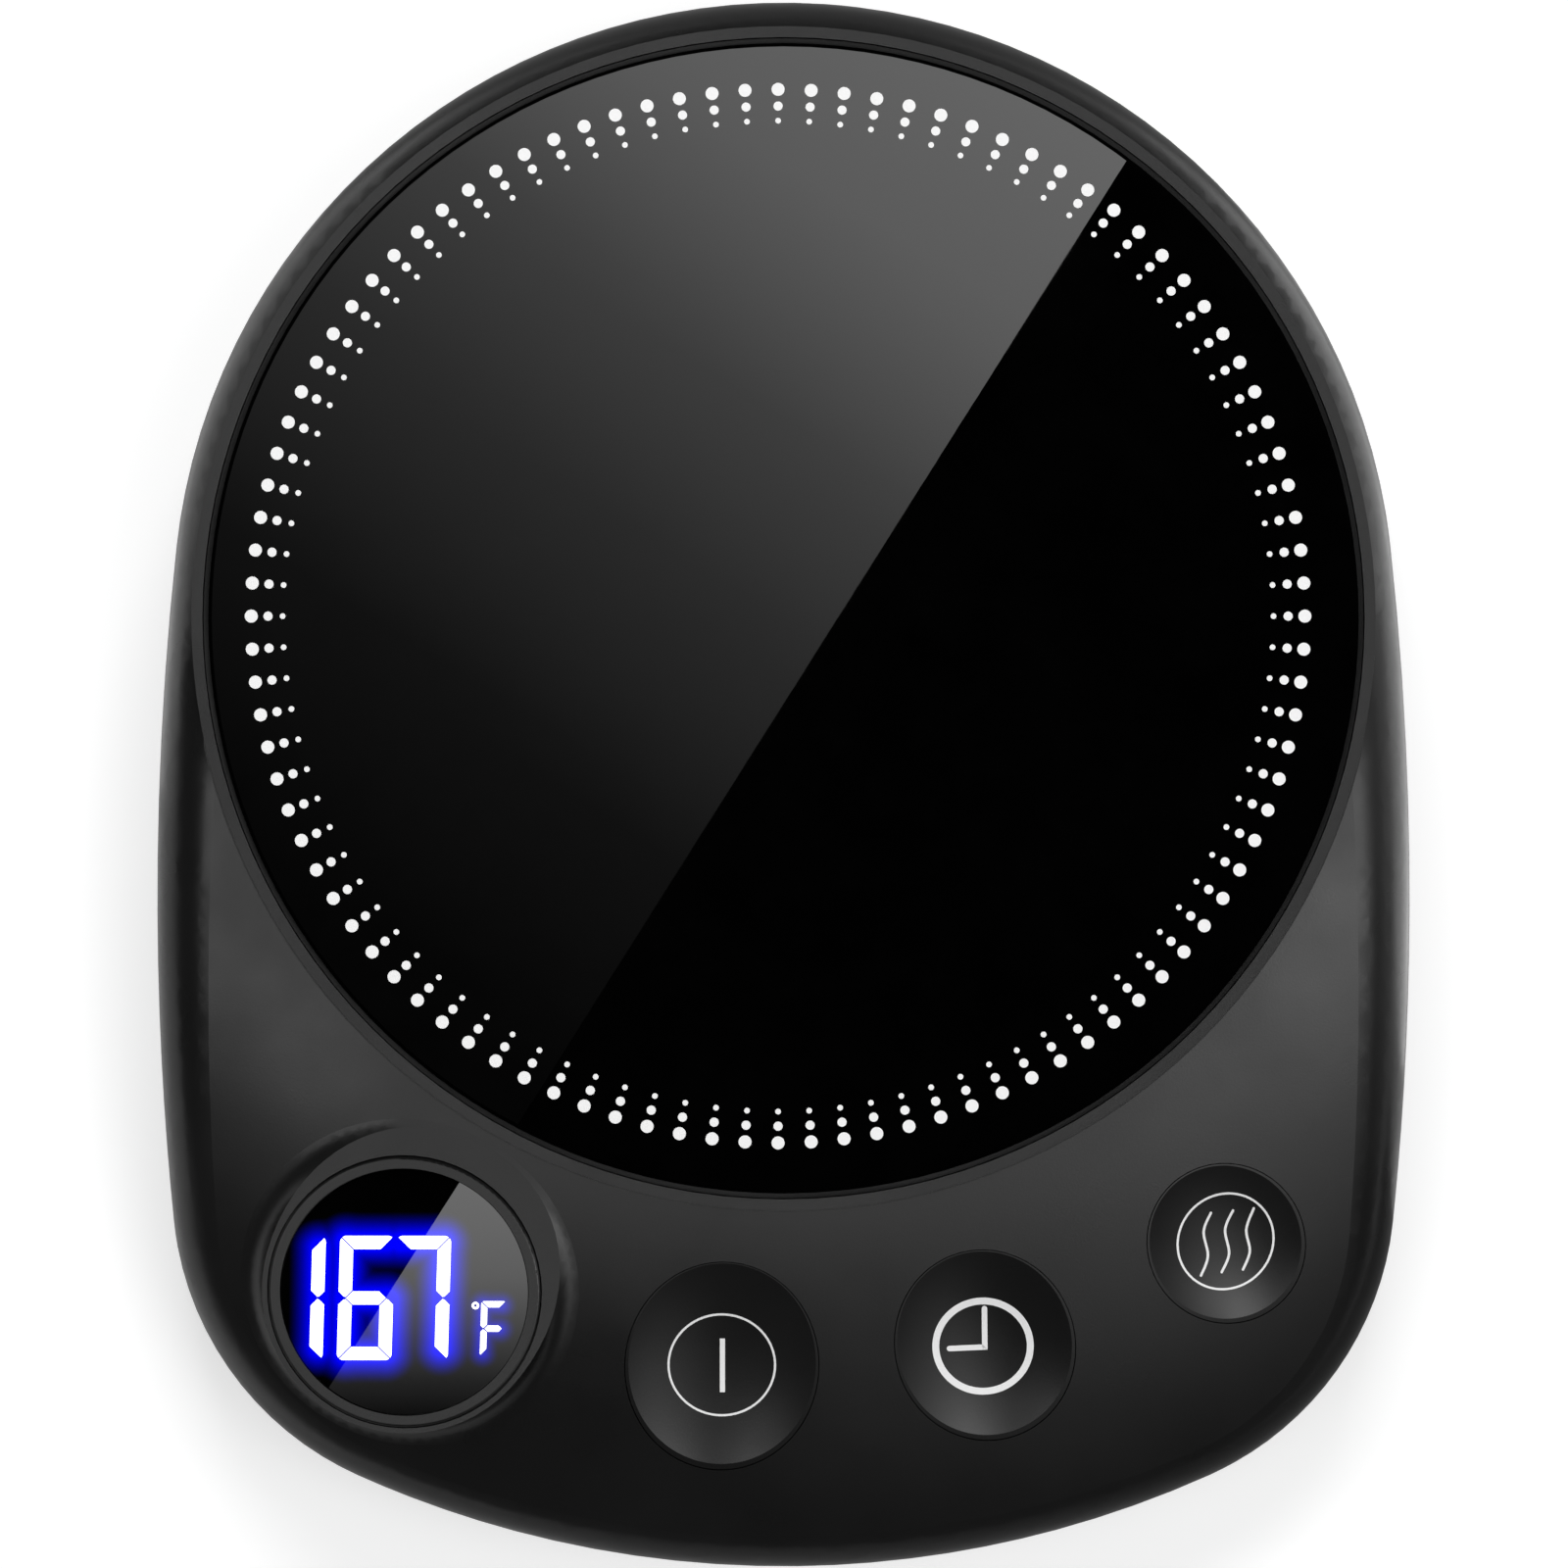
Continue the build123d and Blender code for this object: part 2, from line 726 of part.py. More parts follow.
with BuildPart() as insulation_pad:
    add(plate_disc(pad_bottom, pad_radius, pad_thickness).part)
    with BuildSketch(Plane.XY.offset(pad_bottom)):
        with Locations(plate_axis):
            Circle(sensor_radius + seat_gap)
        with Locations((0, fuse_y)):
            SlotCenterToCenter(2 * lead_window_x, fuse_slot_width)
    extrude(amount=pad_thickness, mode=Mode.SUBTRACT)
save(insulation_pad, "insulation_pad")

with BuildPart() as heater_clamp:
    with BuildSketch(Plane.XY.offset(clamp_bottom)):
        with Locations(plate_axis):
            Circle(clamp_radius)
            for turn in (45, -45):
                SlotCenterToCenter(2 * clamp_screw_radius, 2 * clamp_ear_radius, rotation=turn)
            Circle(sensor_window_radius, mode=Mode.SUBTRACT)
        with Locations(*clamp_screw_places):
            Circle(small_screw_radius + seat_gap, mode=Mode.SUBTRACT)
        with Locations((-lead_window_x, fuse_y), (lead_window_x, fuse_y)):
            Circle(lead_window_radius, mode=Mode.SUBTRACT)
    extrude(amount=clamp_thickness)
save(heater_clamp, "heater_clamp")

with BuildPart() as temperature_sensor:
    with BuildSketch(Plane.XY.offset(pad_bottom)):
        with Locations(plate_axis):
            Circle(sensor_radius)
    extrude(amount=pad_thickness)
    fillet(temperature_sensor.edges().group_by(Axis.Z)[0], sensor_edge)
save(temperature_sensor, "temperature_sensor")

with BuildPart() as thermal_fuse:
    fuse_z = film_bottom - fuse_radius
    tail_length = lead_window_x - heater_wire_radius - fuse_length / 2
    with BuildSketch(Plane((-fuse_length / 2, fuse_y, fuse_z), x_dir=(0, 1, 0), z_dir=(1, 0, 0))):
        Circle(fuse_radius)
    extrude(amount=fuse_length)
    chamfer(thermal_fuse.edges().filter_by(GeomType.CIRCLE), fuse_edge)
    with BuildSketch(Plane((-fuse_length / 2, fuse_y, fuse_z), x_dir=(0, 1, 0), z_dir=(-1, 0, 0))):
        Circle(fuse_tail_radius)
    extrude(amount=tail_length)
    with BuildSketch(Plane((fuse_length / 2, fuse_y, fuse_z), x_dir=(0, 1, 0), z_dir=(1, 0, 0))):
        Circle(fuse_tail_radius)
    extrude(amount=tail_length)
save(thermal_fuse, "thermal_fuse")

# ---- Control board and its parts ----
with BuildPart() as control_board:
    with BuildSketch(Plane.XY.offset(board_bottom)):
        add(case_outline(board_inset))
        with Locations((0, board_rear + case_length / 2)):
            Rectangle(case_width, case_length, mode=Mode.SUBTRACT)
        with Locations(*board_posts):
            Circle(small_screw_radius + seat_gap, mode=Mode.SUBTRACT)
    extrude(amount=board_thickness)
save(control_board, "control_board")

for name, (at, across, along, dish) in buttons.items():
    with BuildPart() as switch:
        with BuildSketch(Plane.XY.offset(board_top)):
            with Locations(at):
                Rectangle(switch_size, switch_size)
        extrude(amount=switch_height)
        with BuildSketch(Plane.XY.offset(plunger_top - plunger_length - button_travel - seat_gap)):
            with Locations(at):
                Circle(plunger_radius + seat_gap)
        extrude(amount=plunger_length, mode=Mode.SUBTRACT)
    save(switch, f"{name}_switch")

    with BuildPart() as plunger:
        with BuildSketch(Plane.XY.offset(plunger_top)):
            with Locations(at):
                Circle(plunger_radius)
        extrude(amount=-plunger_length)
    save(plunger, f"{name}_plunger")

    with BuildPart() as button:
        add(deck_plug(at, across, along, button_rim_drop))
        add(deck_plug(at, across + button_flange, along + button_flange, wall + seat_gap))
        add(case_form(button_depth), mode=Mode.SUBTRACT)
        add(dish_tool(at, across - button_land, along - button_land, dish), mode=Mode.SUBTRACT)
        with BuildSketch(Plane.XY.offset(plunger_top)):
            with Locations(at):
                Circle(stem_radius)
        extrude(amount=deck_place(at)[3] - button_depth - plunger_top)
    save(button, f"{name}_button")


def board_box(at, size, bottom):
    """Box of the given size, centred on a place of the board."""
    with BuildPart() as box:
        with BuildSketch(Plane.XY.offset(bottom)):
            with Locations(at):
                Rectangle(size[0], size[1])
        extrude(amount=size[2])
    return box


connectors = {
    "supply_connector": (supply_connector_x, supply_connector_width),
    "heater_connector": (heater_connector_x, heater_connector_width),
    "sensor_connector": (sensor_connector_x, sensor_connector_width),
}
for name, (x, width) in connectors.items():
    connector_size = (width, connector_depth, connector_height)
    connector = board_box((x, connector_y), connector_size, board_bottom - connector_height)
    save(connector, name)

with BuildPart() as microcontroller:
    add(board_box(controller_at, controller_size, board_top).part)
    with BuildSketch(Plane.XY.offset(board_top)):
        with Locations(controller_at):
            with GridLocations(lead_pitch, controller_size[1] + lead_reach / 2, lead_count, 2):
                Rectangle(lead_width, lead_reach)
    extrude(amount=lead_thickness)
save(microcontroller, "microcontroller")

with BuildPart() as power_transistor:
    add(board_box(transistor_at, transistor_size, board_top).part)
    with BuildSketch(Plane.XY.offset(board_top)):
        with Locations((transistor_at[0], transistor_at[1] + transistor_size[1] / 2)):
            Rectangle(transistor_tab_width, transistor_tab)
    extrude(amount=lead_thickness)
save(power_transistor, "power_transistor")

with BuildPart() as capacitor:
    with BuildSketch(Plane.XY.offset(board_top)):
        with Locations(capacitor_at):
            Circle(capacitor_radius)
    extrude(amount=capacitor_height)
    fillet(capacitor.edges().group_by(Axis.Z)[-1], capacitor_edge)
save(capacitor, "capacitor")

# ---- Display: bezel, lens, segment module with its light bars, board and header ----
with BuildPart() as display_bezel:
    with BuildSketch(display_face):
        Circle(bezel_radius)
        Circle(lens_radius + seat_gap, mode=Mode.SUBTRACT)
    extrude(amount=-bezel_depth)
    rim = display_bezel.faces().sort_by(Axis(display_face.origin, display_face.z_dir))[-1]
    fillet(rim.edges().sort_by(SortBy.RADIUS)[-1], bezel_edge)
save(display_bezel, "display_bezel")

with BuildPart() as display_lens:
    with BuildSketch(display_face.offset(-lens_recess)):
        Circle(lens_radius)
    extrude(amount=-lens_thickness)
save(display_lens, "display_lens")


def leaning(x, y):
    """Point moved to the right with its height, by the slant of the digits."""
    return (x + y * sin(radians(digit_slant)), y)


def leaning_face(*points):
    """Sketch of the closed outline through the points, leaning with the digits."""
    with BuildSketch() as outline:
        with BuildLine():
            Polyline(*[leaning(x, y) for x, y in points], close=True)
        make_face()
    return outline.sketch


def digit_cell(width, height, bar):
    """Seven bars of a digit, mitred at the corners and pointed beside the middle bar."""
    x = width / 2
    y = height / 2
    half_bar = bar / 2
    spine = x - half_bar
    window = x - bar
    with BuildSketch() as cell:
        add(leaning_face((-x, -y), (x, -y), (x, y), (-x, y)))
        fillet(cell.vertices(), digit_corner * bar)
        for low, high in ((half_bar, y - bar), (bar - y, -half_bar)):
            hole = leaning_face((-window, low), (window, low), (window, high), (-window, high))
            add(hole, mode=Mode.SUBTRACT)
        for side in (-1, 1):
            mouth = side * (spine + bar)
            add(leaning_face((side * spine, 0), (mouth, bar), (mouth, -bar)), mode=Mode.SUBTRACT)
            for level in (-1, 1):
                with Locations(leaning(side * spine, level * (y - half_bar))):
                    Rectangle(2 * bar, segment_gap, rotation=45 * side * level, mode=Mode.SUBTRACT)
                with Locations(leaning(side * (spine - half_bar / 2), level * half_bar / 2)):
                    Rectangle(bar, segment_gap, rotation=-45 * side * level, mode=Mode.SUBTRACT)
    return cell.sketch


digit = digit_cell(digit_width, digit_height, digit_bar)
unit = digit_cell(unit_width, unit_height, unit_bar)
right_bars = ShapeList(digit.faces().sort_by(Axis.X)[-2:])
letter_bars = ShapeList(unit.faces().sort_by(Axis.X)[:-2].sort_by(Axis.Y)[1:])

with BuildSketch(display_face.offset(-bezel_depth)) as segment_layout:
    with Locations((hundreds_x, digit_y)):
        add(right_bars)
    with Locations((tens_x, digit_y), (ones_x, digit_y)):
        add(digit)
    with Locations((unit_x, unit_y)):
        add(letter_bars)
    with Locations(degree_at):
        Circle(degree_radius)
        Circle(degree_hole, mode=Mode.SUBTRACT)

with BuildPart() as segment_bars:
    add(segment_layout.sketch)
    extrude(amount=-segment_depth)
save(segment_bars, "segment_bars")

with BuildPart() as display_module:
    with BuildSketch(display_face.offset(-bezel_depth)):
        Circle(module_radius)
    extrude(amount=-module_height)
    add(segment_bars.part, mode=Mode.SUBTRACT)
save(display_module, "display_module")

with BuildPart() as display_board:
    with BuildSketch(display_face.offset(-module_depth)):
        Circle(module_radius)
    extrude(amount=-display_board_thickness)
save(display_board, "display_board")

with BuildPart() as display_header:
    with BuildSketch(Plane.XY.offset(board_top)):
        with Locations(display_at):
            with GridLocations(0, 2 * header_offset, 1, 2):
                Rectangle(header_length, header_width)
    extrude(amount=overall_height)
    split(bisect_by=display_face.offset(-module_depth - display_board_thickness), keep=Keep.BOTTOM)
save(display_header, "display_header")

# ---- Power socket, its centre pin and its sleeve contact ----
socket_face = Plane((0, socket_front, socket_axis_z), x_dir=(1, 0, 0), z_dir=(0, -1, 0))
with BuildPart() as power_socket:
    with BuildSketch(socket_face):
        Rectangle(socket_width, socket_height)
    extrude(amount=socket_depth)
    with BuildSketch(socket_face):
        Circle(barrel_radius)
    extrude(amount=plug_recess_depth + barrel_depth, mode=Mode.SUBTRACT)
    with BuildSketch(socket_face):
        Circle(plug_recess_radius)
    extrude(amount=plug_recess_depth, mode=Mode.SUBTRACT)
    with BuildSketch(socket_face.offset(plug_recess_depth)):
        Circle(pin_radius + fit_gap)
        with Locations((contact_x, 0)):
            Rectangle(contact_thickness + 2 * fit_gap, contact_width + 2 * fit_gap)
    extrude(amount=socket_depth, mode=Mode.SUBTRACT)
save(power_socket, "power_socket")

pin_start = plug_recess_depth + pin_recess
with BuildPart() as socket_pin:
    with BuildSketch(socket_face.offset(pin_start)):
        Circle(pin_radius)
    extrude(amount=socket_depth - pin_start + tag_length)
    fillet(socket_pin.edges().group_by(Axis.Y)[-1], pin_radius / 2)
save(socket_pin, "socket_pin")

with BuildPart() as socket_contact:
    with BuildSketch(socket_face.offset(pin_start)):
        with Locations((contact_x, 0)):
            Rectangle(contact_thickness, contact_width)
    extrude(amount=socket_depth - pin_start + tag_length)
save(socket_contact, "socket_contact")


def wire(points, bends, radius):
    """Round wire along straight legs joined by bends."""
    with BuildPart() as run:
        with BuildLine() as route:
            FilletPolyline(*points, radius=bends)
        start = route.line @ 0
        with BuildSketch(Plane(start, z_dir=route.line % 0)):
            Circle(radius)
        sweep()
    return run.part


# ---- Wires: socket to board, heater to board, sensor to board ----
wire_start_y = socket_back - tag_length
with BuildPart() as supply_leads:
    for side, tag_x in ((-1, 0), (1, contact_x)):
        end_x = supply_connector_x + side * supply_wire_pitch / 2
        add(
            wire(
                [
                    (tag_x, wire_start_y, socket_axis_z),
                    (tag_x, wire_start_y - supply_exit, socket_axis_z),
                    (end_x, wire_end_y + supply_approach, wire_z),
                    (end_x, wire_end_y, wire_z),
                ],
                [route_bend, route_bend],
                supply_wire_radius,
            )
        )
save(supply_leads, "supply_leads")

with BuildPart() as heater_leads:
    for side in (-1, 1):
        end_x = heater_connector_x + side * heater_wire_pitch / 2
        add(
            wire(
                [
                    (side * lead_window_x, fuse_y, film_bottom),
                    (side * lead_window_x, fuse_y, wire_z),
                    (end_x, wire_end_y + heater_approach, wire_z),
                    (end_x, wire_end_y, wire_z),
                ],
                [drop_bend, drop_bend],
                heater_wire_radius,
            )
        )
save(heater_leads, "heater_leads")

with BuildPart() as sensor_leads:
    for side in (-1, 1):
        end_x = sensor_connector_x + side * sensor_wire_pitch / 2
        add(
            wire(
                [
                    (side * sensor_tail_pitch / 2, plate_y, pad_bottom),
                    (side * sensor_tail_pitch / 2, plate_y, wire_z),
                    (end_x, wire_end_y + sensor_approach, wire_z),
                    (end_x, wire_end_y, wire_z),
                ],
                [drop_bend, route_bend],
                sensor_wire_radius,
            )
        )
save(sensor_leads, "sensor_leads")
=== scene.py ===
import json
import math

import bpy
import numpy as np
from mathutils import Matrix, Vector
from mathutils.bvhtree import BVHTree


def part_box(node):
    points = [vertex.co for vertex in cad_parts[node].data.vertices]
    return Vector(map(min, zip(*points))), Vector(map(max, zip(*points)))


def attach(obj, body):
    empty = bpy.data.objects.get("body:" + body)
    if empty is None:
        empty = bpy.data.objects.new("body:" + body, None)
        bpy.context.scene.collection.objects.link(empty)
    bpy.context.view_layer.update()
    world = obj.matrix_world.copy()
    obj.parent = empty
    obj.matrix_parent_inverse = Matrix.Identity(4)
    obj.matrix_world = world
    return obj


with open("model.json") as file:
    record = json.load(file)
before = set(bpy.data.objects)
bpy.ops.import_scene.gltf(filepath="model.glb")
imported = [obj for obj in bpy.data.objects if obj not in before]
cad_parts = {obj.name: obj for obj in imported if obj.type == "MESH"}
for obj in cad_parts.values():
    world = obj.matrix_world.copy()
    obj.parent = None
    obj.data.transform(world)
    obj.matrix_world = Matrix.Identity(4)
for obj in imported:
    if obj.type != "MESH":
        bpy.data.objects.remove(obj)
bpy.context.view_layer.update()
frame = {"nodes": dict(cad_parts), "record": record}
nodes = frame["nodes"]
scene = bpy.context.scene
scene.view_settings.view_transform = "Standard"
MM = 0.001


# ---------------------------------------------------------------- camera
SENSOR = 36.0
CAMERA_HEIGHT = 4.0
FRAME_WIDTH = 150.376 * MM
FRAME_CENTRE = (0.047 * MM, 0.141 * MM)
FOCUS_LEVEL = 16 * MM  # height at which the frame has its width

camera = bpy.data.objects.new("camera", bpy.data.cameras.new("camera"))
scene.collection.objects.link(camera)
camera.location = (*FRAME_CENTRE, CAMERA_HEIGHT)
camera.data.sensor_width = SENSOR
camera.data.lens = SENSOR * (CAMERA_HEIGHT - FOCUS_LEVEL) / FRAME_WIDTH
camera.data.clip_end = 20
scene.camera = camera


# ---------------------------------------------------------------- material helpers
def fresh(name):
    """An empty node material with a Principled shader on its output."""
    material = bpy.data.materials.new(name)
    material.use_nodes = True
    tree = material.node_tree
    tree.nodes.clear()
    output = tree.nodes.new("ShaderNodeOutputMaterial")
    shader = tree.nodes.new("ShaderNodeBsdfPrincipled")
    tree.links.new(shader.outputs[0], output.inputs[0])
    return material, tree, shader


def node(tree, kind, settings=None, **inputs):
    """A node with its properties and inputs set; an input that is a socket is linked."""
    made = tree.nodes.new(kind)
    for key, value in (settings or {}).items():
        setattr(made, key, value)
    for key, value in inputs.items():
        numbered = key[0] == "i" and key[1:].isdigit()
        socket = made.inputs[int(key[1:]) if numbered else key]
        if isinstance(value, bpy.types.NodeSocket):
            tree.links.new(value, socket)
        else:
            socket.default_value = value
    return made


def place(tree):
    """Object coordinates."""
    return node(tree, "ShaderNodeTexCoord").outputs["Object"]


def noise(tree, scale, detail=2.0, roughness=0.5):
    made = node(tree, "ShaderNodeTexNoise", Scale=scale, Detail=detail, Roughness=roughness)
    tree.links.new(place(tree), made.inputs["Vector"])
    return made.outputs["Fac"]


def maths(tree, operation, *values):
    """Result of a Math node on numbers or sockets."""
    inputs = {f"i{k}": value for k, value in enumerate(values)}
    return node(tree, "ShaderNodeMath", {"operation": operation}, **inputs).outputs[0]


def vector_maths(tree, operation, output, **inputs):
    """Named output of a Vector Math node."""
    return node(tree, "ShaderNodeVectorMath", {"operation": operation}, **inputs).outputs[output]


def ranged(tree, value, low, high, from_low=0.3, from_high=0.7):
    """Clamped change from one range of numbers to another."""
    made = node(tree, "ShaderNodeMapRange", Value=value)
    limits = {"From Min": from_low, "From Max": from_high, "To Min": low, "To Max": high}
    for key, number in limits.items():
        made.inputs[key].default_value = number
    return made.outputs[0]


def mixed(tree, factor, first, second):
    """Mix of two colours."""
    made = node(tree, "ShaderNodeMix", {"data_type": "RGBA"})
    tree.links.new(factor, made.inputs[0])
    made.inputs[6].default_value = (*first, 1)
    made.inputs[7].default_value = (*second, 1)
    return made.outputs[2]


def moulded(
    name, dark, light, roughness, grain=5000.0, depth=0.006 * MM, cloud=60.0, spread=0.06, metal=0.0
):
    """Moulded or rolled surface: fine grain in bump and colour, and a slow change of gloss."""
    material, tree, shader = fresh(name)
    fine = noise(tree, grain, 3.0, 0.6)
    slow = noise(tree, cloud, 3.0, 0.55)
    tree.links.new(mixed(tree, ranged(tree, fine, 0, 1), dark, light), shader.inputs["Base Color"])
    gloss = ranged(tree, slow, roughness - spread, roughness + spread)
    tree.links.new(gloss, shader.inputs["Roughness"])
    bump = node(tree, "ShaderNodeBump", Strength=1.0, Distance=depth, Height=fine)
    tree.links.new(bump.outputs[0], shader.inputs["Normal"])
    shader.inputs["Metallic"].default_value = metal
    return material


def grey(level):
    return (level, level, level)


# ---------------------------------------------------------------- materials of the CAD nodes
PLASTIC_DARK, PLASTIC_LIGHT = grey(0.002), grey(0.004)
SHEEN_GRAIN = 0.003 * MM
FINE_GRAIN = 0.004 * MM
MATTE_GRAIN = 0.006 * MM


def plastic(name, roughness, depth=MATTE_GRAIN):
    """Black moulded plastic of the case."""
    return moulded(name, PLASTIC_DARK, PLASTIC_LIGHT, roughness, depth=depth)


def rolled(name, dark, light, roughness, grain, depth, cloud, spread):
    """Bare metal."""
    return moulded(name, dark, light, roughness, grain, depth, cloud, spread, 1.0)


materials = {
    "case_plastic": plastic("case_plastic", 0.31),
    "base_plastic": plastic("base_plastic", 0.34),
    "button_plastic": plastic("button_plastic", 0.31),
    "bezel_plastic": plastic("bezel_plastic", 0.28, FINE_GRAIN),
    "rubber": moulded("rubber", grey(0.014), grey(0.03), 0.78, 2600, 0.02 * MM),
    "seal_silicone": moulded("seal_silicone", grey(0.006), grey(0.01), 0.6, 2000),
    "steel": rolled("steel", (0.5, 0.5, 0.49), (0.66, 0.66, 0.65), 0.3, 3500, SHEEN_GRAIN, 300, 0.08),
    "clamp_steel": rolled("clamp_steel", grey(0.5), grey(0.6), 0.35, 900, FINE_GRAIN, 90, 0.1),
    "aluminium": rolled("aluminium", (0.7, 0.7, 0.72), (0.8, 0.8, 0.82), 0.3, 1200, SHEEN_GRAIN, 120, 0.1),
    "film_amber": moulded("film_amber", (0.5, 0.2, 0.03), (0.6, 0.28, 0.06), 0.25, 800, FINE_GRAIN),
    "fibre_pad": moulded("fibre_pad", (0.72, 0.7, 0.65), (0.86, 0.85, 0.81), 0.95, 1500, 0.08 * MM),
    "epoxy_black": moulded("epoxy_black", grey(0.016), grey(0.028), 0.55, 2500, 0.01 * MM),
    "fuse_body": moulded("fuse_body", (0.7, 0.66, 0.58), (0.78, 0.75, 0.68), 0.3, 1500, SHEEN_GRAIN),
    "lead_white": moulded("lead_white", (0.72, 0.72, 0.7), (0.82, 0.82, 0.8), 0.5, 1800, FINE_GRAIN),
    "lead_black": moulded("lead_black", grey(0.02), grey(0.035), 0.45, 1800, FINE_GRAIN),
    "lead_red": moulded("lead_red", (0.4, 0.02, 0.015), (0.5, 0.04, 0.03), 0.5, 1800, FINE_GRAIN),
    "board_green": moulded("board_green", (0.01, 0.1, 0.035), (0.025, 0.15, 0.06), 0.3, 1100, FINE_GRAIN),
    "switch_black": moulded("switch_black", grey(0.02), grey(0.034), 0.5, 2800, MATTE_GRAIN),
    "plunger_white": moulded("plunger_white", (0.74, 0.74, 0.72), (0.84, 0.84, 0.82), 0.4, 2200, FINE_GRAIN),
    "module_black": moulded("module_black", grey(0.014), grey(0.022), 0.6, 2200, MATTE_GRAIN),
    "segment_resin": moulded("segment_resin", (0.8, 0.84, 0.9), (0.9, 0.93, 0.98), 0.35, 2200, SHEEN_GRAIN),
    "socket_black": moulded("socket_black", grey(0.016), grey(0.028), 0.42, 2600, MATTE_GRAIN),
    "brass": rolled("brass", (0.72, 0.56, 0.26), (0.82, 0.67, 0.36), 0.25, 2500, SHEEN_GRAIN, 300, 0.08),
    "capacitor_can": moulded("capacitor_can", (0.06, 0.07, 0.12), (0.09, 0.1, 0.16), 0.35, 1500, SHEEN_GRAIN),
    "nylon_white": moulded("nylon_white", (0.76, 0.74, 0.66), (0.86, 0.84, 0.78), 0.45, 2200, 0.005 * MM),
}

GLASS_ROUGHNESS = 0.004
GLASS_RIPPLE = 0.00005 * MM
GLASS_IOR = 1.5


def black_glass(name):
    """Polished black surface with faint handling marks in its gloss."""
    material, tree, shader = fresh(name)
    marks = noise(tree, 140.0, 4.0, 0.6)
    tree.links.new(mixed(tree, marks, grey(0.0), grey(0.0012)), shader.inputs["Base Color"])
    gloss = ranged(tree, marks, GLASS_ROUGHNESS * 0.6, GLASS_ROUGHNESS * 1.4)
    tree.links.new(gloss, shader.inputs["Roughness"])
    ripple = node(tree, "ShaderNodeBump", Strength=1.0, Distance=GLASS_RIPPLE, Height=noise(tree, 300.0))
    tree.links.new(ripple.outputs[0], shader.inputs["Normal"])
    shader.inputs["IOR"].default_value = GLASS_IOR
    return material, tree, shader


materials["plate_glass"] = black_glass("plate_glass")[0]


# ---------------------------------------------------------------- display: lens with the glow of the digits
DISPLAY_AT = (-36.3, -48.5)
PLATE_Y = 16.0
DISPLAY_TILT = math.radians(8)
DISPLAY_REACH = 15.2
OVERALL_HEIGHT = 26.0
LENS_RECESS = 0.3
BARS_DEPTH = 1.5
DIGIT_LINES = [
    ((-8.3, -5.4), (-8.1, 4.2)),
    ((-5.8, -6.0), (-5.5, 4.8)),
    ((-5.6, 4.8), (-1.7, 4.8)),
    ((-5.7, -0.6), (-1.8, -0.6)),
    ((-5.8, -6.0), (-2.0, -6.0)),
    ((-1.7, -5.8), (-1.5, -0.8)),
    ((-0.3, 4.8), (3.8, 4.8)),
    ((3.5, -5.4), (3.8, 4.6)),
]
UNIT_LINES = [((7.4, -5.9), (7.5, -1.3)), ((7.5, -1.3), (9.3, -1.3)), ((7.5, -3.6), (9.1, -3.6))]
# Distance in millimetres up to which the glow is full, and at which it ends
DIGIT_GLOW = (0.8, 3.0)
UNIT_GLOW = (0.3, 1.7)
GLOW_POWER = 2.2
GLOW_BLEND = 0.5
UNIT_SHARE = 0.5

outward = Vector((DISPLAY_AT[0], DISPLAY_AT[1] - PLATE_Y, 0)).normalized()
display_normal = outward * math.sin(DISPLAY_TILT) + Vector((0, 0, math.cos(DISPLAY_TILT)))
display_origin = Vector((*DISPLAY_AT, OVERALL_HEIGHT - DISPLAY_REACH * math.sin(DISPLAY_TILT))) * MM
display_x = Vector((1, 0, -display_normal.x / display_normal.z)).normalized()
display_y = display_normal.cross(display_x)


def line_distance(tree, spot, start, end):
    """Distance in millimetres from a spot to a straight line between two points."""
    first = Vector((*start, 0))
    along = Vector((*end, 0)) - first
    offset = vector_maths(tree, "SUBTRACT", "Vector", i0=spot, i1=tuple(first))
    share = tuple(along / along.length_squared)
    run = vector_maths(tree, "DOT_PRODUCT", "Value", i0=offset, i1=share)
    kept = node(tree, "ShaderNodeClamp", i0=run).outputs[0]
    foot = vector_maths(tree, "SCALE", "Vector", i0=tuple(along), Scale=kept)
    return vector_maths(tree, "DISTANCE", "Value", i0=offset, i1=foot)


def glow_of(tree, spot, lines, solid, reach):
    """1 near the lines, falling smoothly to 0 at reach."""
    nearest, *others = [line_distance(tree, spot, start, end) for start, end in lines]
    for distance in others:
        nearest = maths(tree, "SMOOTH_MIN", nearest, distance, GLOW_BLEND)
    return ranged(tree, nearest, 1, 0, solid, reach)


def lens_material():
    """Black lens with a blue glow round the lit digits."""
    material, tree, shader = black_glass("lens_black")
    centred = vector_maths(tree, "SUBTRACT", "Vector", i0=place(tree), i1=tuple(display_origin))
    x, y = [
        vector_maths(tree, "DOT_PRODUCT", "Value", i0=centred, i1=tuple(axis / MM))
        for axis in (display_x, display_y)
    ]
    spot = node(tree, "ShaderNodeCombineXYZ", i0=x, i1=y).outputs[0]
    bright = maths(tree, "POWER", glow_of(tree, spot, DIGIT_LINES, *DIGIT_GLOW), GLOW_POWER)
    faint = maths(tree, "POWER", glow_of(tree, spot, UNIT_LINES, *UNIT_GLOW), GLOW_POWER)
    strength = maths(tree, "MULTIPLY_ADD", faint, UNIT_SHARE, bright)
    tree.links.new(strength, shader.inputs["Emission Strength"])
    shader.inputs["Emission Color"].default_value = (0.0, 0.0, 1.0, 1)
    return material


materials["lens_black"] = lens_material()

for row in frame["record"]["subparts"]:
    mesh = nodes[row["node"]].data
    mesh.materials.clear()
    mesh.materials.append(materials[row["material_slot"]])


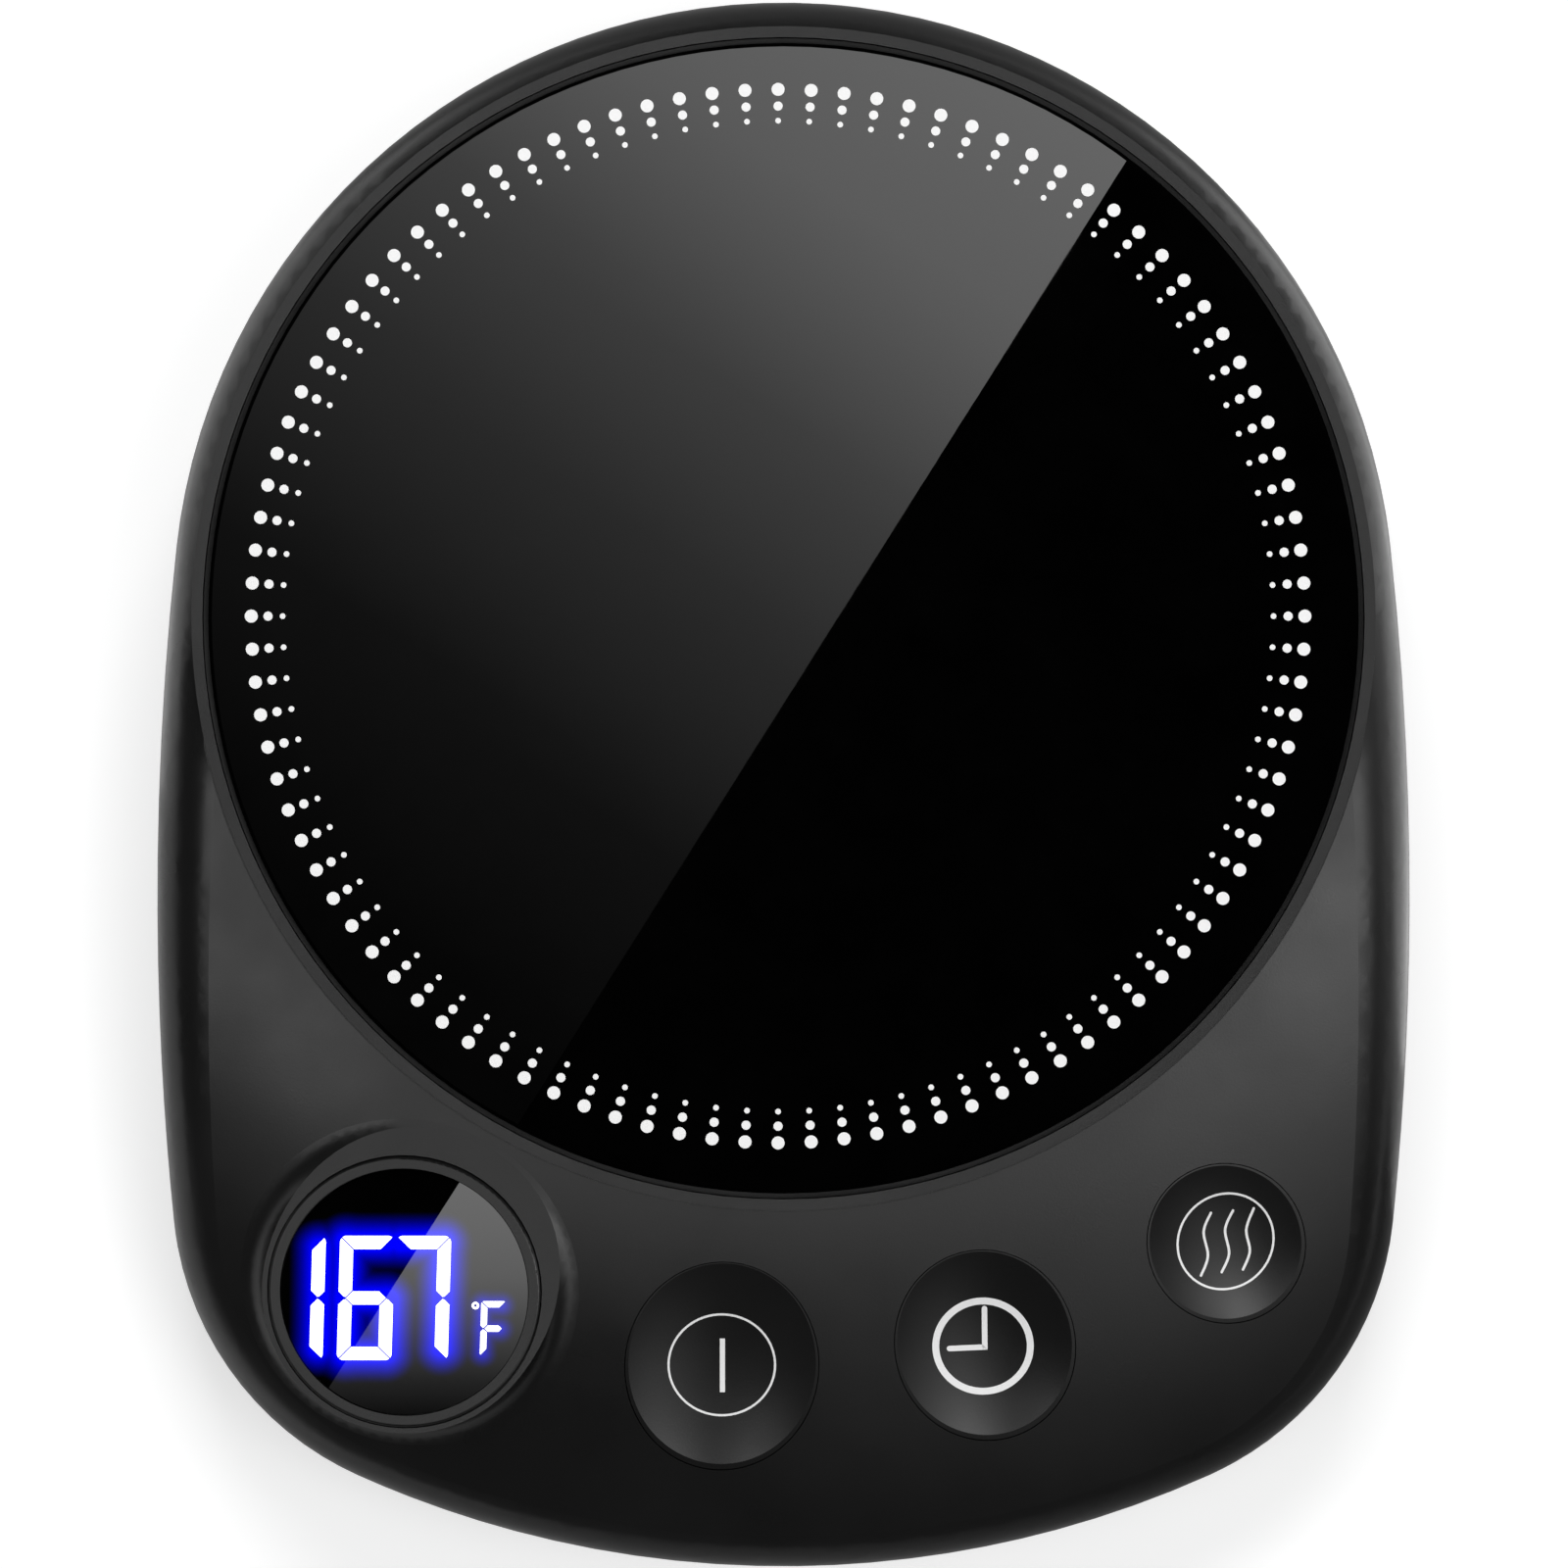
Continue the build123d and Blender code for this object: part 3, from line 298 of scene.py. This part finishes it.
# ---------------------------------------------------------------- printed and lit pieces
def ink(name, emission=0.0):
    """White ink, slightly mottled."""
    material, tree, shader = fresh(name)
    mottle = noise(tree, 2500.0, 3.0, 0.6)
    tree.links.new(mixed(tree, mottle, grey(0.95), grey(1.0)), shader.inputs["Base Color"])
    tree.links.new(ranged(tree, mottle, 0.45, 0.6), shader.inputs["Roughness"])
    if emission:
        shader.inputs["Emission Color"].default_value = (1, 1, 1, 1)
        tree.links.new(ranged(tree, mottle, emission, emission * 1.1), shader.inputs["Emission Strength"])
    return material


DIGIT_LIGHT = 1.2
white_ink = ink("white_ink")
lit_white = ink("lit_white", DIGIT_LIGHT)


def piece(name, vertices, faces, material, body):
    """Visible piece that rides on a body."""
    mesh = bpy.data.meshes.new(name)
    mesh.from_pydata([tuple(v) for v in vertices], [], faces)
    mesh.update()
    made = bpy.data.objects.new(name, mesh)
    scene.collection.objects.link(made)
    mesh.materials.append(material)
    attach(made, body)


# Ring of dots: 100 rays of three dots, printed on the glass
DOTS_CENTRE = (-0.52 * MM, 16.2 * MM)
DOT_ROWS = [(50.4 * MM, 0.625 * MM), (48.8 * MM, 0.44 * MM), (47.4 * MM, 0.275 * MM)]
RAYS = 100
DOT_SIDES = 24
GLASS_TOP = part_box("glass_plate")[1].z
PRINT_BOTTOM = -0.01 * MM
PRINT_TOP = 0.02 * MM

dot_vertices, dot_faces = [], []
for ray in range(RAYS):
    turn = 2 * math.pi * ray / RAYS
    for distance, radius in DOT_ROWS:
        x = DOTS_CENTRE[0] + distance * math.sin(turn)
        y = DOTS_CENTRE[1] + distance * math.cos(turn)
        first = len(dot_vertices)
        for level in (PRINT_BOTTOM, PRINT_TOP):
            for side in range(DOT_SIDES):
                angle = 2 * math.pi * side / DOT_SIDES
                spot = (x + radius * math.cos(angle), y + radius * math.sin(angle), GLASS_TOP + level)
                dot_vertices.append(spot)
        dot_faces.append([first + side for side in reversed(range(DOT_SIDES))])
        dot_faces.append([first + DOT_SIDES + side for side in range(DOT_SIDES)])
        for side in range(DOT_SIDES):
            after = (side + 1) % DOT_SIDES
            low, high = (first + side, first + after), (first + DOT_SIDES + after, first + DOT_SIDES + side)
            dot_faces.append([*low, *high])
piece("plate_dots", dot_vertices, dot_faces, white_ink, "case")


# Button symbols: thin strips laid on the dishes
def surface_of(name):
    """Height of a CAD node's upper surface at a place."""
    mesh = nodes[name].data
    corners = [v.co.copy() for v in mesh.vertices]
    tree = BVHTree.FromPolygons(corners, [p.vertices[:] for p in mesh.polygons])
    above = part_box(name)[1].z + 1 * MM

    def height(x, y):
        return tree.ray_cast(Vector((x, y, above)), Vector((0, 0, -1)))[0].z

    return height


MITRE_LIMIT = 0.5


def strip(points, widths, height, closed):
    """Thin ribbon along points in the plan, with its own width at each, lying on the surface."""
    count = len(points)
    vertices, faces = [], []
    for i, point in enumerate(points):
        if closed:
            before, after = points[i - 1], points[(i + 1) % count]
        else:
            before, after = points[max(i - 1, 0)], points[min(i + 1, count - 1)]
        arriving, leaving = point - before, after - point
        if arriving.length == 0:
            arriving = leaving
        if leaving.length == 0:
            leaving = arriving
        arriving, leaving = arriving.normalized(), leaving.normalized()
        along = (arriving + leaving).normalized()
        across = Vector((-along.y, along.x)) * widths[i] / 2 / max(along.dot(leaving), MITRE_LIMIT)
        for side, level in ((1, PRINT_TOP), (-1, PRINT_TOP), (-1, PRINT_BOTTOM), (1, PRINT_BOTTOM)):
            spot = point + across * side
            vertices.append((spot.x, spot.y, height(spot.x, spot.y) + level))
    for i in range(count if closed else count - 1):
        a, b = 4 * i, 4 * ((i + 1) % count)
        for k in range(4):
            m = (k + 1) % 4
            faces.append([a + k, a + m, b + m, b + k])
    if not closed:
        faces.append([3, 2, 1, 0])
        last = 4 * (count - 1)
        faces.append([last, last + 1, last + 2, last + 3])
    return vertices, faces


def ring(centre, half_x, half_y, width, turn=0.0, sides=128):
    """Closed ellipse of one line width."""
    points = []
    for i in range(sides):
        angle = 2 * math.pi * i / sides
        x, y = half_x * math.cos(angle), half_y * math.sin(angle)
        points.append(
            Vector((
                centre[0] + x * math.cos(turn) - y * math.sin(turn),
                centre[1] + x * math.sin(turn) + y * math.cos(turn),
            )) * MM
        )
    return points, [width * MM] * sides, True


CAP_STEPS = 5
SMALLEST = 1e-6


def stroke(corners, width, step=0.12, round_ends=True, smooth=False):
    """Open line through the corners, straight or smoothed, with round or square ends."""
    knots = [Vector(c) for c in corners]
    points = []
    for i in range(len(knots) - 1):
        a, b = knots[i], knots[i + 1]
        parts = max(2, int((b - a).length / step))
        for k in range(parts):
            t = k / parts
            if smooth:
                p = knots[max(i - 1, 0)]
                q = knots[min(i + 2, len(knots) - 1)]
                bend = (p * 2 - a * 5 + b * 4 - q) * t**2
                twist = (a * 3 - p - b * 3 + q) * t**3
                points.append((a * 2 + (b - p) * t + bend + twist) / 2)
            else:
                points.append(a.lerp(b, t))
    points.append(knots[-1])
    if round_ends:
        radius = width / 2
        first, second = points[0], points[1]
        last, previous = points[-1], points[-2]
        caps = [radius * (1 - math.cos(math.pi / 2 * k / CAP_STEPS)) for k in range(CAP_STEPS)]
        start = [first + (first - second).normalized() * (radius - c) for c in caps]
        end = [last + (last - previous).normalized() * (radius - c) for c in reversed(caps)]
        widths = [2 * math.sqrt(max(radius**2 - (radius - c) ** 2, SMALLEST)) for c in caps]
        full = [width] * len(points)
        points = start + points + end
        widths = widths + full + widths[::-1]
    else:
        widths = [width] * len(points)
    return [p * MM for p in points], [w * MM for w in widths], False


symbols = {
    "power": [
        ring((-5.91, -55.49), 5.1, 4.85, 0.21),
        stroke([(-5.85, -52.96), (-5.85, -58.13)], 0.5, round_ends=False),
    ],
    "timer": [
        ring((19.11, -53.7), 4.53, 4.34, 0.66),
        stroke([(19.24, -50.1), (19.28, -53.79), (15.9, -53.93)], 0.53),
    ],
    "heat": [
        ring((42.34, -43.66), 4.75, 4.45, 0.21, math.radians(45)),
        stroke([(40.93, -40.93), (40.24, -42.72), (40.65, -45.07), (39.99, -46.95)], 0.24, smooth=True),
        stroke([(43.04, -40.7), (42.3, -42.53), (42.68, -44.84), (41.98, -46.62)], 0.24, smooth=True),
        stroke([(45.03, -40.5), (44.33, -42.53), (44.67, -44.62), (44.02, -46.38)], 0.24, smooth=True),
    ],
}
for key, lines in symbols.items():
    height = surface_of(f"{key}_button")
    vertices, faces = [], []
    for points, widths, closed in lines:
        more, sides = strip(points, widths, height, closed)
        faces += [[k + len(vertices) for k in side] for side in sides]
        vertices += more
    piece(f"{key}_symbol", vertices, faces, white_ink, f"{key}_key")


# Lit digits: the outlines of the light bars that are on, as they show on the lens
UNLIT_BARS = [(-1.6, 2.2), (-0.2, 2.2), (-0.45, -3.4), (1.69, -0.6), (1.49, -5.96)]
BAR_REACH = 1.2
LEVEL_TOLERANCE = 0.01 * MM


def digits_on_lens():
    """Thin plates over the lit bars, with the outlines of the bars' upper faces."""
    mesh = nodes["segment_bars"].data
    lift = display_normal * (BARS_DEPTH - LENS_RECESS) * MM
    top = -BARS_DEPTH * MM
    vertices, faces, where = [], [], {}
    for polygon in mesh.polygons:
        corners = [mesh.vertices[k].co for k in polygon.vertices]
        levels = [(c - display_origin).dot(display_normal) - top for c in corners]
        if max(abs(level) for level in levels) > LEVEL_TOLERANCE:
            continue
        face = []
        for corner in corners:
            key = tuple(round(c / MM, 3) for c in corner)
            if key not in where:
                where[key] = len(vertices)
                vertices.append(corner + lift + display_normal * PRINT_TOP)
            face.append(where[key])
        faces.append(face)
    bar_of = list(range(len(vertices)))
    for _ in range(len(vertices)):
        changed = False
        for face in faces:
            low = min(bar_of[k] for k in face)
            for k in face:
                changed = changed or bar_of[k] != low
                bar_of[k] = low
        if not changed:
            break
    lit = set()
    for bar in set(bar_of):
        members = [vertices[k] - display_origin for k in range(len(vertices)) if bar_of[k] == bar]
        middle = sum(members, Vector()) / len(members) / MM
        spot = Vector((middle.dot(display_x), middle.dot(display_y)))
        if min((spot - Vector(unlit)).length for unlit in UNLIT_BARS) > BAR_REACH:
            lit.add(bar)
    faces = [face for face in faces if bar_of[face[0]] in lit]
    used = sorted({k for face in faces for k in face})
    renumbered = {k: i for i, k in enumerate(used)}
    vertices = [vertices[k] for k in used]
    faces = [[renumbered[k] for k in face] for face in faces]
    edges = dict.fromkeys((a, b) for face in faces for a, b in zip(face, face[1:] + face[:1]))
    count = len(vertices)
    vertices += [v + display_normal * (PRINT_BOTTOM - PRINT_TOP) for v in vertices]
    faces = faces + [[k + count for k in reversed(face)] for face in faces]
    for a, b in edges:
        if (b, a) not in edges:
            faces.append([b, a, a + count, b + count])
    piece("display_digits", vertices, faces, lit_white, "case")


digits_on_lens()


# ---------------------------------------------------------------- floor, lights and reflected cards
def stage_material(name, shader_nodes):
    """Material of the floor or a card, from a function that makes its shader."""
    material = bpy.data.materials.new(name)
    material.use_nodes = True
    tree = material.node_tree
    tree.nodes.clear()
    output = tree.nodes.new("ShaderNodeOutputMaterial")
    tree.links.new(shader_nodes(tree), output.inputs[0])
    return material


FLOOR_SEEN = 0.55
FLOOR_GLOW = 0.62
FLOOR_COLOUR = 0.8


def floor_shader(tree):
    """White to the camera, with the object's shadow, pale grey to all else, clear from below."""
    rays = node(tree, "ShaderNodeLightPath").outputs["Is Camera Ray"]
    lit = node(tree, "ShaderNodeBsdfDiffuse", Color=(*grey(FLOOR_SEEN), 1)).outputs[0]
    glow = node(tree, "ShaderNodeEmission", Color=(1, 1, 1, 1), Strength=FLOOR_GLOW).outputs[0]
    seen = node(tree, "ShaderNodeAddShader", i0=lit, i1=glow).outputs[0]
    other = node(tree, "ShaderNodeBsdfDiffuse", Color=(*grey(FLOOR_COLOUR), 1)).outputs[0]
    above = node(tree, "ShaderNodeMixShader", Fac=rays, i1=other, i2=seen).outputs[0]
    under = node(tree, "ShaderNodeNewGeometry").outputs["Backfacing"]
    clear = node(tree, "ShaderNodeBsdfTransparent").outputs[0]
    return node(tree, "ShaderNodeMixShader", Fac=under, i1=above, i2=clear).outputs[0]


FLOOR_HALF = 12.0
floor_mesh = bpy.data.meshes.new("floor")
floor_signs = [(-1, -1), (1, -1), (1, 1), (-1, 1)]
floor_mesh.from_pydata([(x * FLOOR_HALF, y * FLOOR_HALF, 0) for x, y in floor_signs], [], [[0, 1, 2, 3]])
floor = bpy.data.objects.new("floor", floor_mesh)
scene.collection.objects.link(floor)
floor_mesh.materials.append(stage_material("floor", floor_shader))


def unit(zenith_angle, azimuth):
    """Direction from two angles in degrees."""
    lean, turn = math.radians(zenith_angle), math.radians(azimuth)
    return (math.sin(lean) * math.cos(turn), math.sin(lean) * math.sin(turn), math.cos(lean))


LIGHT_DISTANCE = 1.2


def soft_box(name, zenith_angle, azimuth, size, power):
    """Area light on a dome over the object, aimed at its middle, that no surface mirrors."""
    data = bpy.data.lights.new(name, "AREA")
    data.shape = "RECTANGLE"
    data.size, data.size_y = size
    data.energy = power
    made = bpy.data.objects.new(name, data)
    scene.collection.objects.link(made)
    made.location = Vector(unit(zenith_angle, azimuth)) * LIGHT_DISTANCE
    made.rotation_mode = "QUATERNION"
    made.rotation_quaternion = (-made.location).to_track_quat("-Z", "Y")
    made.visible_camera = made.visible_glossy = False


soft_box("rear_box", 42, 90, (0.6, 0.4), 8.5)

# Soft lights of the studio around the object: zenith angle, azimuth, half width in degrees, level
SOFT_LIGHTS = [
    (20, -10, 12.5, 4.4),
    (38, -5, 12, 1.1),
    (38, -50, 15, 0.9),
    (20, 203, 11, 3.2),
    (77, 5, 14, 1.1),
]
STUDIO_LEVEL = 0.1
# Height of a direction at which the open, dark sky straight above begins, and at which it is black
OPEN_SKY = (0.99, 0.9995)

world = bpy.data.worlds.new("world")
scene.world = world
world.use_nodes = True
sky_tree = world.node_tree
sky_tree.nodes.clear()
sky_out = sky_tree.nodes.new("ShaderNodeOutputWorld")
direction = node(sky_tree, "ShaderNodeTexCoord").outputs["Generated"]
level = STUDIO_LEVEL
for zenith_angle, azimuth, width, strength in SOFT_LIGHTS:
    towards = vector_maths(sky_tree, "DOT_PRODUCT", "Value", i0=direction, i1=unit(zenith_angle, azimuth))
    apart = maths(sky_tree, "ARCCOSINE", towards)
    ratio = maths(sky_tree, "DIVIDE", apart, math.radians(width))
    square = maths(sky_tree, "MULTIPLY", ratio, ratio)
    lobe = maths(sky_tree, "EXPONENT", maths(sky_tree, "MULTIPLY", square, -1.0))
    level = maths(sky_tree, "MULTIPLY_ADD", lobe, strength, level)
height = node(sky_tree, "ShaderNodeSeparateXYZ", i0=direction).outputs[2]
level = maths(sky_tree, "MULTIPLY", level, ranged(sky_tree, height, 1.0, 0.0, *OPEN_SKY))
around = node(sky_tree, "ShaderNodeBackground", Color=(1, 1, 1, 1), Strength=level).outputs[0]
white = node(sky_tree, "ShaderNodeBackground", Color=(1, 1, 1, 1), Strength=1.0).outputs[0]
camera_rays = node(sky_tree, "ShaderNodeLightPath").outputs["Is Camera Ray"]
sky = node(sky_tree, "ShaderNodeMixShader", Fac=camera_rays, i1=around, i2=white).outputs[0]
sky_tree.links.new(sky, sky_out.inputs[0])


def glowing(tree):
    """Plain glow whose strength is written on the card."""
    shade_value = node(tree, "ShaderNodeAttribute", {"attribute_name": "shade"}).outputs["Fac"]
    return node(tree, "ShaderNodeEmission", Color=(1, 1, 1, 1), Strength=shade_value).outputs[0]


def glossy_card(name, vertices, faces, levels):
    """Card of the studio with a level at each corner, which only reflections show."""
    mesh = bpy.data.meshes.new(name)
    mesh.from_pydata(vertices, [], faces)
    mesh.attributes.new("shade", "FLOAT", "POINT").data.foreach_set("value", np.array(levels, np.float32))
    made = bpy.data.objects.new(name, mesh)
    scene.collection.objects.link(made)
    mesh.materials.append(stage_material(name, glowing))
    made.visible_camera = made.visible_diffuse = made.visible_shadow = made.visible_transmission = False


def mirrored(point, normal, card_height):
    """Place on a level card that the camera sees reflected at a point of a surface."""
    ray = (point - camera.location).normalized()
    away = ray - normal * 2 * ray.dot(normal)
    return point + away * (card_height - point.z) / away.z


CARD_STEPS = 48


def reflected_card(name, corners, on_surface, normal, card_height, shade):
    """Card that fills the reflection between four corners, given in the plan of the surface."""
    a, b, c, d = corners
    vertices, faces, levels = [], [], []
    for i in range(CARD_STEPS + 1):
        for j in range(CARD_STEPS + 1):
            spot = a.lerp(b, i / CARD_STEPS).lerp(d.lerp(c, i / CARD_STEPS), j / CARD_STEPS)
            vertices.append(tuple(mirrored(on_surface(spot), normal, card_height)))
            levels.append(shade(spot))
    row = CARD_STEPS + 1
    for i in range(CARD_STEPS):
        for j in range(CARD_STEPS):
            k = i * row + j
            faces.append([k, k + 1, k + row + 1, k + row])
    glossy_card(name, vertices, faces, levels)


def beside_edge(start, end, before, after, across):
    """Corners of a card along an edge in the plan, lengthened at both ends and widened across."""
    along = (start - end).normalized()
    first, last = start + along * before, end - along * after
    return [first, first + across, last + across, last]


def eased(value, stops):
    """Level at a value, from a list of values and levels."""
    return float(np.interp(value, [stop[0] for stop in stops], [stop[1] for stop in stops]))


def on_plate(spot):
    """Point of the glass plate over a place in the plan."""
    return Vector((spot.x * MM, spot.y * MM, GLASS_TOP))


def on_lens(spot):
    """Point of the display lens over a place in the plan."""
    base = display_origin - display_normal * LENS_RECESS * MM
    x, y = spot.x * MM, spot.y * MM
    rise = -((x - base.x) * display_normal.x + (y - base.y) * display_normal.y) / display_normal.z
    return Vector((x, y, base.z + rise))


# Bright card over the upper left of the plate; its level falls along the fade
PLATE_EDGE = Vector((32.94, 60.0)), Vector((-19.69, -23.36))
PLATE_FADE = Vector((-0.615, -0.788))
PLATE_CARD_HEIGHT = 0.9
PLATE_CARD_WIDTH = 150
PLATE_SHADE = [(-20, 3.3), (0, 3.2), (20, 2.6), (40, 1.15), (57, 0.55), (79, 0.13), (102, 0.03), (140, 0.0)]


def plate_shade(spot):
    return eased((spot - PLATE_EDGE[0]).dot(PLATE_FADE), PLATE_SHADE)


plate_along = (PLATE_EDGE[0] - PLATE_EDGE[1]).normalized()
plate_left = Vector((-plate_along.y, plate_along.x)) * PLATE_CARD_WIDTH
plate_corners = beside_edge(*PLATE_EDGE, before=40, after=60, across=plate_left)
reflected_card("plate_card", plate_corners, on_plate, Vector((0, 0, 1)), PLATE_CARD_HEIGHT, plate_shade)

# Bright card over the right part of the lens, and a black one over its left part
LENS_EDGE = Vector((-31.0, -37.96)), Vector((-39.87, -51.9))
LENS_CARD_HEIGHT = 0.7
LENS_CARD_WIDTH = 30
LENS_SHADE = [
    (-62.0, 0.0),
    (-60.0, 0.12),
    (-57.0, 0.4),
    (-53.0, 1.2),
    (-47.0, 2.7),
    (-42.0, 3.3),
    (-36.0, 3.7),
]


def lens_shade(spot):
    return eased(spot.y, LENS_SHADE)


def no_light(spot):
    return 0.0


lens_along = (LENS_EDGE[0] - LENS_EDGE[1]).normalized()
lens_right = Vector((lens_along.y, -lens_along.x)) * LENS_CARD_WIDTH
for name, across, shade in (("lens_card", lens_right, lens_shade), ("lens_flag", -lens_right, no_light)):
    lens_corners = beside_edge(*LENS_EDGE, before=8, after=14, across=across)
    reflected_card(name, lens_corners, on_lens, display_normal, LENS_CARD_HEIGHT, shade)

# Reflectors and flags on the floor: name, two corners in the plan, level at the left and right edge
CARD_LIFT = 0.5 * MM
FLOOR_CARDS = [
    ("right_reflector", (68, -28), (300, 120), 1.9, 1.9),
    ("left_reflector", (-300, 0), (-68, 140), 1.2, 1.2),
    ("front_flag", (-62, -500), (160, -42), 0.42, 0.0),
    ("rear_flag", (-60, 62), (60, 500), 0.34, 0.34),
]
for name, (left, front), (right, rear), left_level, right_level in FLOOR_CARDS:
    corners = [(left, front), (right, front), (right, rear), (left, rear)]
    vertices = [(x * MM, y * MM, CARD_LIFT) for x, y in corners]
    glossy_card(name, vertices, [[0, 1, 2, 3]], [left_level, right_level, right_level, left_level])
